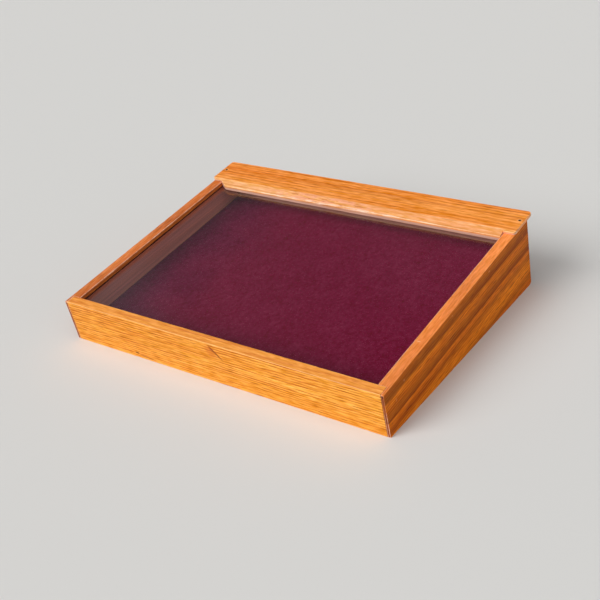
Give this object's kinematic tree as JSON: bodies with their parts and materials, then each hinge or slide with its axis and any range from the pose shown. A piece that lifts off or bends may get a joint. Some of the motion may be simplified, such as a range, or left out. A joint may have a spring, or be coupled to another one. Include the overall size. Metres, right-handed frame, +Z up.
{
  "type": "countertop display case",
  "caption": "Low sloping countertop display case: a wooden wedge with a glazed top, a velvet floor, a board across the back of the glass and a drop-down back door.",
  "frame": {"origin": "middle of the case's bounding box at the level of the counter it stands on", "axes": "+X across the case to its right-hand end, +Y from the low front to the back, +Z up"},
  "size_m": [0.6132, 0.4686, 0.1317],
  "materials": {
    "oak": "satin varnish",
    "pine": "raw",
    "plywood": "raw",
    "velvet": "pile",
    "glass": "clear",
    "brass": "aged",
    "steel": "plated",
    "nail_iron": "dull",
    "magnet": "ground",
    "catch_plastic": "moulded"
  },
  "bodies": {
    "case": {"back_rail": "oak", "catch_case": "catch_plastic", "catch_magnet": "magnet", "catch_screw_left": "steel", "catch_screw_right": "steel", "display_panel": "plywood", "front_board": "oak", "front_cleat": "pine", "front_cleat_screw_left": "steel", "front_cleat_screw_right": "steel", "glass_pane": "glass", "left_back_rail_nail_lower": "nail_iron", "left_back_rail_nail_upper": "nail_iron", "left_cleat": "pine", "left_cleat_screw_back": "steel", "left_cleat_screw_front": "steel", "left_ear_nail": "nail_iron", "left_front_nail_lower": "nail_iron", "left_front_nail_upper": "nail_iron", "left_hinge_pin": "brass", "left_hinge_rail_leaf": "brass", "left_hinge_rail_screw_1": "brass", "left_hinge_rail_screw_2": "brass", "left_side_panel": "oak", "left_stop_rail_nail": "nail_iron", "rear_stop_rail": "oak", "right_back_rail_nail_lower": "nail_iron", "right_back_rail_nail_upper": "nail_iron", "right_cleat": "pine", "right_cleat_screw_back": "steel", "right_cleat_screw_front": "steel", "right_ear_nail": "nail_iron", "right_front_nail_lower": "nail_iron", "right_front_nail_upper": "nail_iron", "right_hinge_pin": "brass", "right_hinge_rail_leaf": "brass", "right_hinge_rail_screw_1": "brass", "right_hinge_rail_screw_2": "brass", "right_side_panel": "oak", "right_stop_rail_nail": "nail_iron", "top_board": "oak", "velvet_lining": "velvet"},
    "door": {"back_door": "oak", "door_knob": "brass", "knob_screw": "steel", "left_hinge_door_leaf": "brass", "left_hinge_door_screw_1": "brass", "left_hinge_door_screw_2": "brass", "right_hinge_door_leaf": "brass", "right_hinge_door_screw_1": "brass", "right_hinge_door_screw_2": "brass", "strike_plate": "steel", "strike_screw": "steel"}
  },
  "joints": [
    {"name": "rear_door_hinge", "type": "hinge", "parent": "case", "child": "door", "pos_m": [0, 0.22368, 0.07422], "axis": [-1, 0, 0], "range_deg": [0, 140]}
  ]
}
